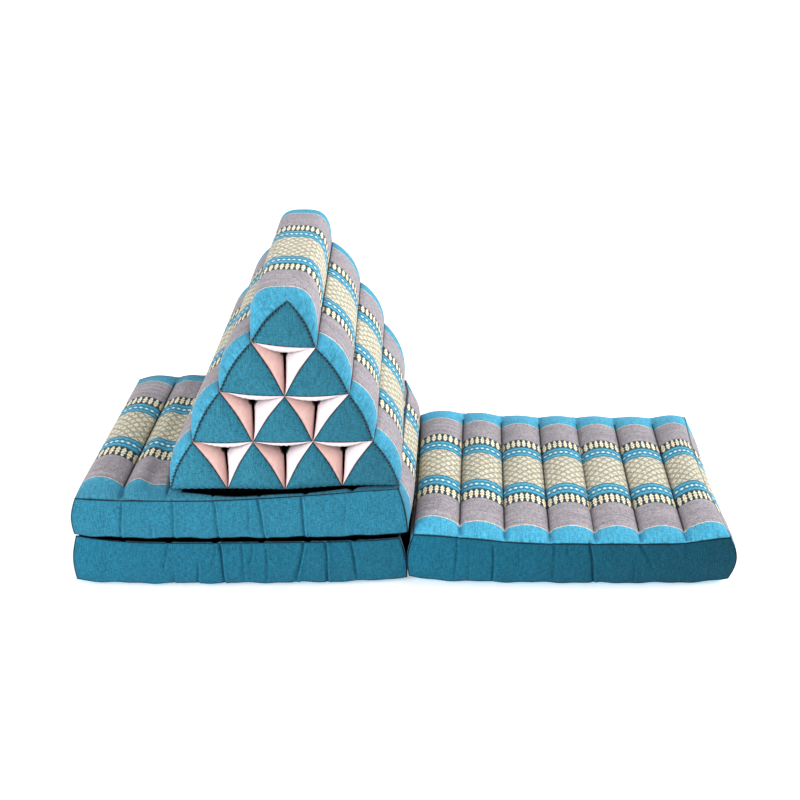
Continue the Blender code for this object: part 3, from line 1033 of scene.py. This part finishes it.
# Wall cloth: its own turquoise set darker than the tops as painted shade on the walls; the lower and
# right sections get darker shaded copies
WALL_BLUE_SHADED = swatch(42, 121, 148)
LOWER_WALL_SHADED = swatch(30, 109, 136)
RIGHT_WALL_SHADED = swatch(20, 93, 117)
# Cap cloth: its own turquoise set darker as painted shade, with a painted falloff of light from left to
# right
CAP_BLUE_SHADED = swatch(44, 114, 136)
TUNNEL_WHITE = swatch(244, 230, 234)
# Tunnel cloth on the blocks' right-hand inner walls: a darker, pinker shaded copy of the white tunnel
# cloth, as painted shade
TUNNEL_PINK_SHADED = swatch(230, 188, 180)
CLOTH_RELIEF = 0.0006
# Distances from the cloth's middle line between which the banded cloth takes painted shade towards its
# front and back edges
EDGE_SHADE_SPAN = (0.190, 0.240)
THREAD = swatch(6, 20, 28)
THREAD_LIGHT = swatch(60, 104, 122)
SEAM_SHADE = 0.14
CHANNEL_SHADE = 0.20
FOLD_SHADE = 0.66
HIDDEN_SHADE = 0.01
LEAF_LOBES = math.tau * 3.5
DOT_RADIUS = 0.0030
THREAD_TURN = math.tau / 0.0012
# Banded cloth copies per section, each with its own factor of painted shade at the front and back
# edges; above 1 it is a little painted light
BANDED_EDGE_SHADE = (("right", 1.05), ("lower", 0.70), ("upper", 0.50), ("rolls", 0.78))
# Shaded wall copies per section, each with a painted falloff of light, lighter at the left and darker
# at the right
WALL_SHADES = (
    ("right", RIGHT_WALL_SHADED, (0.0, 0.57, 1.30, 0.58)),
    ("lower", LOWER_WALL_SHADED, (0.0, 0.58, 1.04, 0.84)),
    ("upper", WALL_BLUE_SHADED, None),
)
# Painted falloff of light across the caps, lighter at the left and darker at the right
CAP_SHADE_FALLOFF = (-0.40, -0.04, 1.22, 0.84)


class Value:
    """What a node gives out, to reckon with as with a number."""

    def __init__(self, draft, socket):
        self.draft = draft
        self.socket = socket

    def __add__(self, other):
        return self.draft.maths("ADD", self, other)

    def __sub__(self, other):
        return self.draft.maths("SUBTRACT", self, other)

    def __rsub__(self, other):
        return self.draft.maths("SUBTRACT", other, self)

    def __mul__(self, other):
        return self.draft.maths("MULTIPLY", self, other)

    def __truediv__(self, other):
        return self.draft.maths("DIVIDE", self, other)

    def __pow__(self, other):
        return self.draft.maths("POWER", self, other)

    def __abs__(self):
        return self.draft.maths("ABSOLUTE", self)


class Draft:
    """A node tree being drawn: each call adds one node and joins its inputs."""

    def __init__(self, tree):
        self.tree = tree

    def feed(self, source, socket):
        """Join a socket to a value, or set its plain number or colour."""
        if isinstance(source, Value):
            self.tree.links.new(source.socket, socket)
        else:
            socket.default_value = source

    def node(self, kind, *values, **settings):
        """One node with its settings and its first inputs."""
        node = self.tree.nodes.new(f"ShaderNode{kind}")
        for setting, value in settings.items():
            setattr(node, setting, value)
        for value, socket in zip(values, node.inputs):
            self.feed(value, socket)
        return Value(self, node.outputs[0])

    def maths(self, operation, *values):
        """One step of arithmetic."""
        return self.node("Math", *values, operation=operation)

    def ramp(self, value, low, high, start=0.0, end=1.0):
        """Soft step of a value between two limits."""
        return self.node("MapRange", value, low, high, start, end, interpolation_type="SMOOTHSTEP")

    def slope(self, value, shade_falloff):
        """Even change from one factor to another between two places, for a painted falloff of light."""
        return self.node("MapRange", value, *shade_falloff)

    def band(self, value, low, high, edge=0.0004):
        """1 between two limits."""
        rise = self.ramp(value, low - edge, low + edge)
        return rise * self.ramp(value, high - edge, high + edge, 1.0, 0.0)

    def mix(self, amount, first, second):
        """Blend of two colours."""
        node = self.tree.nodes.new("ShaderNodeMix")
        node.data_type = "RGBA"
        for value, place in ((amount, 0), (first, 6), (second, 7)):
            self.feed(value, node.inputs[place])
        return Value(self, node.outputs[2])

    def shade(self, colour, factor):
        """Colour made lighter or darker by a factor."""
        plain = colour if isinstance(colour, Value) else colour[:3]
        node = self.node("VectorMath", plain, operation="SCALE")
        self.feed(factor, node.socket.node.inputs["Scale"])
        return node

    def point(self, x, y, z=0.0):
        """A point from its coordinates."""
        return self.node("CombineXYZ", x, y, z)

    def noise(self, point, scale, detail=2.0):
        """Cloudy variation between 0 and 1."""
        node = self.node("TexNoise", point)
        self.feed(scale, node.socket.node.inputs["Scale"])
        self.feed(detail, node.socket.node.inputs["Detail"])
        return node

    def cloth_map(self, layer):
        """The two measures kept in one of the piece's cloth maps."""
        place = self.node("UVMap", uv_map=layer)
        parts = self.node("SeparateXYZ", place).socket.node.outputs
        return Value(self, parts[0]), Value(self, parts[1])

    def group(self, tree, *values):
        """What a shared effect gives for its own values."""
        node = self.tree.nodes.new("ShaderNodeGroup")
        node.node_tree = tree
        for value, socket in zip(values, node.inputs):
            self.feed(value, socket)
        return {socket.name: Value(self, socket) for socket in node.outputs}


def effect(name, inputs, outputs):
    """An empty shared effect: its draft, its input values and its output sockets."""
    tree = bpy.data.node_groups.new(name, "ShaderNodeTree")
    for socket in inputs:
        tree.interface.new_socket(socket, in_out="INPUT", socket_type="NodeSocketFloat")
    for socket in outputs:
        kind = "NodeSocketColor" if socket == "Colour" else "NodeSocketFloat"
        tree.interface.new_socket(socket, in_out="OUTPUT", socket_type=kind)
    draft = Draft(tree)
    given = tree.nodes.new("NodeGroupInput").outputs
    result = tree.nodes.new("NodeGroupOutput").inputs
    return draft, [Value(draft, given[socket]) for socket in inputs], result


def woven_bands():
    """The border bands of the cloth, mirrored about its middle line."""
    draft, (along, across), result = effect("woven_bands", ("Along", "Across"), ("Colour", "Raised"))
    out = abs(along)
    leaf = draft.maths("FRACT", across / LEAF_PITCH)
    aside = abs(leaf - 0.5)
    wave = draft.maths("COSINE", leaf * math.tau)
    ribs = draft.noise(draft.point(along * RIBS[0], across * RIBS[1], 2.2), 1.0)
    mauve = draft.mix(draft.ramp(ribs, 0.36, 0.60), MAUVE_RIB, MAUVE)
    colour = draft.mix(draft.ramp(out, LEAF_EDGE - 0.0005, LEAF_EDGE + 0.0005), TEAL, mauve)
    colour, leaves = leaf_fringe(draft, out, aside, colour)
    colour = dotted_band(draft, out, aside, wave, colour)
    colour, lenses = lattice_field(draft, out, across, colour)
    edge = draft.ramp(out, CREAM_LINE - 0.0004, CREAM_LINE + 0.0004)
    colour = draft.mix(edge, colour, TURQUOISE)
    line = draft.band(out, CREAM_LINE - 0.0009, CREAM_LINE + 0.0009)
    draft.feed(draft.mix(line, colour, LINE_CREAM), result["Colour"])
    draft.feed(draft.maths("MAXIMUM", leaves, lenses * 0.6), result["Raised"])
    return draft.tree


def leaf_fringe(draft, out, aside, ground):
    """A row of lobed leaves pointing outwards on a dark ground."""
    reach = (out - DOTTED_EDGE) / (LEAF_EDGE - DOTTED_EDGE)
    hump = draft.maths("SINE", draft.maths("MAXIMUM", reach, 0.0001) ** 0.85 * math.pi)
    lobes = (1.0 - draft.maths("COSINE", reach * LEAF_LOBES)) * 0.085
    half = draft.maths("MAXIMUM", hump, 0.0001) ** 0.6 * (0.43 - lobes)
    mask = draft.ramp(half - aside, -0.02, 0.03) * draft.band(reach, 0.05, 0.99, 0.01)
    beads = draft.ramp(draft.maths("SINE", reach * LEAF_LOBES), 0.0, 0.8)
    centre = draft.band(reach, 0.22, 0.80, 0.05) * draft.ramp(aside, 0.05, 0.15, 0.9, 0.0)
    return draft.mix(centre * beads, draft.mix(mask, ground, LEAF_CREAM), TAN), mask


def dotted_band(draft, out, aside, wave, ground):
    """Turquoise with a row of light dots, each in an eye of two dark wavy lines."""
    middle = (LATTICE_EDGE + DOTTED_EDGE) / 2
    half = (DOTTED_EDGE - LATTICE_EDGE) / 2
    from_middle = abs(out - middle)
    line = draft.ramp(abs(from_middle + wave * 0.0016 - 0.0062), 0.0010, 0.0024, 0.9, 0.0)
    edge = draft.ramp(abs(from_middle - (half - 0.0016)), 0.0012, 0.0026, 0.85, 0.0)
    colour = draft.mix(draft.maths("MAXIMUM", line, edge), TURQUOISE, TURQUOISE_DARK)
    across = aside * (LEAF_PITCH / DOT_RADIUS)
    deep = from_middle / DOT_RADIUS
    radius = draft.maths("SQRT", across * across + deep * deep)
    colour = draft.mix(draft.ramp(radius, 0.85, 1.10, 1.0, 0.0), colour, DOT_WHITE)
    return draft.mix(draft.band(out, LATTICE_EDGE, DOTTED_EDGE), ground, colour)


def lattice_field(draft, out, across, ground):
    """Flat lens shapes in staggered rows, each with a darker core and short strokes round it."""
    zone = draft.ramp(out, LATTICE_EDGE - 0.0005, LATTICE_EDGE + 0.0005, 1.0, 0.0)
    first = abs(draft.maths("FRACT", across / LENS_PITCH) - 0.5)
    second = abs(draft.maths("FRACT", out / LENS_ROWS) - 0.5)
    from_line = abs((first + second) * 2.0 - 1.0)
    strokes = draft.maths("SINE", (across * 520.0 + out * 260.0) * math.tau)
    marks = draft.ramp(from_line, 0.24, 0.52, 1.0, 0.0) * draft.ramp(strokes, -0.5, 0.6, 0.62, 1.0)
    uneven = draft.noise(draft.point(across * 240.0, out * 170.0, 5.0), 1.0, 1.0)
    marks = marks * draft.ramp(uneven, 0.25, 0.60, 0.55, 1.0)
    core = draft.ramp(from_line, 0.72, 0.90, 0.0, 0.8)
    colour = draft.mix(marks, draft.mix(core, LATTICE_CREAM, LATTICE_CORE), LATTICE_GREY)
    return draft.mix(zone, ground, colour), zone * (1.0 - marks)


def plain_weave():
    """Threads and slubs of hand-woven cotton, as light and dark and as height."""
    draft, (along, across), result = effect("plain_weave", ("Along", "Across"), ("Shade", "Height"))
    weft = draft.noise(draft.point(along * WEAVE[0], across * WEAVE[1]), 1.0)
    warp = draft.noise(draft.point(along * WEAVE[1], across * WEAVE[0], 3.7), 1.0)
    slubs = weft + warp
    cloud = draft.noise(draft.point(along, across, 1.3), 26.0, 3.0)
    draft.feed((slubs - 1.0) * 1.35 + (cloud - 0.5) * 0.22 + 1.0, result["Shade"])
    threads = draft.maths("SINE", along * THREAD_TURN) * draft.maths("SINE", across * THREAD_TURN)
    rumple = draft.noise(draft.point(along, across, 7.1), 75.0, 3.0)
    draft.feed(threads * 0.15 + slubs * 0.5 + rumple * 1.5, result["Height"])
    return draft.tree


def thread_and_painted_shade():
    """Darkness of the seams: the dark seam thread with painted shade in the seam crease, painted shade
    in the stitched channels, and painted shadow on cloth with no light on it.
    """
    draft, (seam, channel), result = effect("thread_and_painted_shade", ("Seam", "Channel"), ("Shade", "Lit"))
    # thread: the dark seam thread, partly painted shade in the seam crease; near: painted shade beside
    # the seam
    thread = draft.ramp(seam, 0.0009, 0.0022, SEAM_SHADE, 1.0)
    near = draft.ramp(seam, 0.0, 0.006, 0.86, 1.0)
    # stitched and fold: painted shade in the stitched channels and on the cloth beside them
    stitched = draft.ramp(channel, 0.0005, 0.0018, CHANNEL_SHADE, 1.0)
    fold = draft.ramp(channel, 0.0, 0.012, 0.74, 1.0)
    # hidden: painted shadow, near black where another piece covers the cloth; Lit is 0 there
    hidden = draft.ramp(channel, -0.0015, 0.0008, HIDDEN_SHADE, 1.0)
    draft.feed(thread * near * (stitched * fold) * hidden, result["Shade"])
    draft.feed(hidden, result["Lit"])
    return draft.tree


def painted_fold_lines():
    """Painted shade as a dark line in each pucker fold, with a painted highlight as a light line beside
    it.
    """
    draft, (aside, strength), result = effect("painted_fold_lines", ("Aside", "Strength"), ("Shade",))
    # groove: painted shade in the fold; crease: painted highlight beside it
    groove = draft.ramp(abs(aside), 0.0003, 0.0026, 1.0, 0.0)
    crease = draft.ramp(abs(aside - 0.0034), 0.0003, 0.0022, 1.0, 0.0)
    strength = draft.maths("MINIMUM", strength, 1.0)
    dark = groove * strength * (1.0 - FOLD_SHADE)
    draft.feed(1.0 - dark + crease * strength * 0.28, result["Shade"])
    return draft.tree


def bare_material(name, roughness):
    """A new material, its shader's sockets and the draft of its nodes."""
    material = bpy.data.materials.new(name)
    material.use_nodes = True
    shader = material.node_tree.nodes["Principled BSDF"].inputs
    shader["Roughness"].default_value = roughness
    return material, shader, Draft(material.node_tree)


def cotton(name, effects, colour, roughness=0.85, sheen=0.02, thread=1.0, shade_falloff=None, edge=None):
    """Cotton cloth: its dyed colour or its woven bands, its threads, its darker sewn lines with painted
    shade at seams, channels and folds, painted highlights beside the folds, painted shadow where
    hidden, and painted falloff of light.
    """
    bands, weave, lines, puckers = effects
    material, shader, draft = bare_material(name, roughness)
    along, across = draft.cloth_map("cloth")
    woven = draft.group(weave, along, across)
    sewn = draft.group(lines, *draft.cloth_map("sewing"))
    pucker = draft.group(puckers, *draft.cloth_map("folds"))
    factor = ((woven["Shade"] - 1.0) * thread + 1.0) * sewn["Shade"]
    # Painted falloff of light along the cloth
    if shade_falloff:
        factor = factor * draft.slope(across, shade_falloff)
    # Painted shade towards the front and back edges of the banded cloth
    if edge:
        factor = factor * draft.slope(abs(along), (*EDGE_SHADE_SPAN, 1.0, edge))
    height = woven["Height"]
    if colour is None:
        banded = draft.group(bands, along, across)
        colour = banded["Colour"]
        height = height + banded["Raised"] * 0.5
    draft.feed(draft.shade(colour, factor * pucker["Shade"]), shader["Base Color"])
    relief = draft.node("Bump", 1.0, CLOTH_RELIEF)
    draft.feed(height, relief.socket.node.inputs["Height"])
    draft.feed(relief, shader["Normal"])
    # Lit is 0 in the painted shadow, which takes away reflection and sheen there too
    draft.feed(sewn["Lit"] * 0.15, shader["Specular IOR Level"])
    draft.feed(sewn["Lit"] * sheen, shader["Sheen Weight"])
    shader["Sheen Roughness"].default_value = 0.5
    return material


def sewing_thread():
    """Dark waxed cotton thread with a fine twist."""
    material, shader, draft = bare_material("sewing_thread", 0.7)
    places = draft.node("TexCoord").socket.node.outputs
    twist = draft.noise(Value(draft, places["Object"]), 1500.0, 2.0)
    draft.feed(draft.mix(twist, THREAD, THREAD_LIGHT), shader["Base Color"])
    return material


# Studio

LAMPS = (("lamp_above", (-0.22, 0.88, 0.0), 3.0, 50.0), ("lamp_front", (1.05, 0.0, -0.75), 0.5, 40.0))
PANEL_PLACE = (-1.5, -1.5, 1.0)
PANEL_AIM = (-0.35, -0.2, 0.15)
PANEL_STRENGTH = 16.0
PANEL_SIZE = 0.9
CAMERA_PLACE = (0.110597, -2.061654, 1.176768)
CAMERA_DOWN = 24.4824
CAMERA_LENS = 54.957
CAMERA_SHIFT = -0.0843
FLOOR_SIZE = 60.0
FLOOR_GAP = 0.0006
PAPER_WHITE = (0.93, 0.93, 0.93, 1.0)
PAPER_GLOW = 0.35
AIR_LIGHT = 0.54


def studio():
    """Pale floor, soft lights and the camera."""
    floor = fresh(bpy.ops.mesh.primitive_plane_add, "studio_floor", size=FLOOR_SIZE,
                  location=(0.0, 0.0, -FLOOR_GAP))
    paper, shader, _ = bare_material("studio_paper", 0.9)
    shader["Base Color"].default_value = PAPER_WHITE
    shader["Specular IOR Level"].default_value = 0.1
    shader["Emission Color"].default_value = (1.0, 1.0, 1.0, 1.0)
    shader["Emission Strength"].default_value = PAPER_GLOW
    floor.data.materials.append(paper)
    world = bpy.data.worlds.new("studio_air")
    bpy.context.scene.world = world
    world.use_nodes = True
    world.node_tree.nodes["Background"].inputs[0].default_value = (1.0, 1.0, 1.0, 1.0)
    world.node_tree.nodes["Background"].inputs[1].default_value = AIR_LIGHT
    for name, turn, strength, spread in LAMPS:
        light = bpy.data.lights.new(name, "SUN")
        light.energy = strength
        light.angle = math.radians(spread)
        stand(name, light, (0.0, 0.0, 0.0), turn)
    light = bpy.data.lights.new("lamp_left", "AREA")
    light.energy = PANEL_STRENGTH
    light.size = PANEL_SIZE
    toward = Vector(PANEL_AIM) - Vector(PANEL_PLACE)
    stand("lamp_left", light, PANEL_PLACE, toward.to_track_quat("-Z", "Y").to_euler())
    camera = bpy.data.cameras.new("camera")
    camera.lens = CAMERA_LENS
    camera.shift_x = CAMERA_SHIFT
    camera.clip_end = 200.0
    turn = (math.pi / 2 - math.radians(CAMERA_DOWN), 0.0, 0.0)
    bpy.context.scene.camera = stand("camera", camera, CAMERA_PLACE, turn)


def stand(name, data, place, turn):
    """Set up a lamp or the camera."""
    holder = bpy.data.objects.new(name, data)
    holder.location = place
    holder.rotation_euler = turn
    bpy.context.scene.collection.objects.link(holder)
    return holder


def main():
    """Dress the solids, then light them."""
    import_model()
    effects = (woven_bands(), plain_weave(), thread_and_painted_shade(), painted_fold_lines())
    banded = [cotton(f"banded_cotton_{name}", effects, None, roughness=0.72, sheen=0.1, edge=edge)
              for name, edge in BANDED_EDGE_SHADE]
    walls = [cotton(f"turquoise_cotton_{name}", effects, colour, shade_falloff=shade_falloff)
             for name, colour, shade_falloff in WALL_SHADES]
    cap = cotton("cap_cotton", effects, CAP_BLUE_SHADED, shade_falloff=CAP_SHADE_FALLOFF)
    white = cotton("tunnel_white_cotton", effects, TUNNEL_WHITE, thread=0.12)
    shaded_tunnel = cotton("tunnel_shaded_cotton", effects, TUNNEL_PINK_SHADED, thread=0.2)
    thread = sewing_thread()
    for section, top, wall in zip(SECTIONS, banded, walls):
        make_section(section, (top, wall))
        make_end_thread(section, thread)
    for row, index in BLOCKS:
        make_block(row, index, (banded[-1], cap, white, walls[-1], shaded_tunnel))
    make_stitches("stitches_front", 0.0, thread)
    make_stitches("stitches_back", 1.0, thread)
    studio()
    bpy.context.scene.view_settings.view_transform = "Standard"


main()
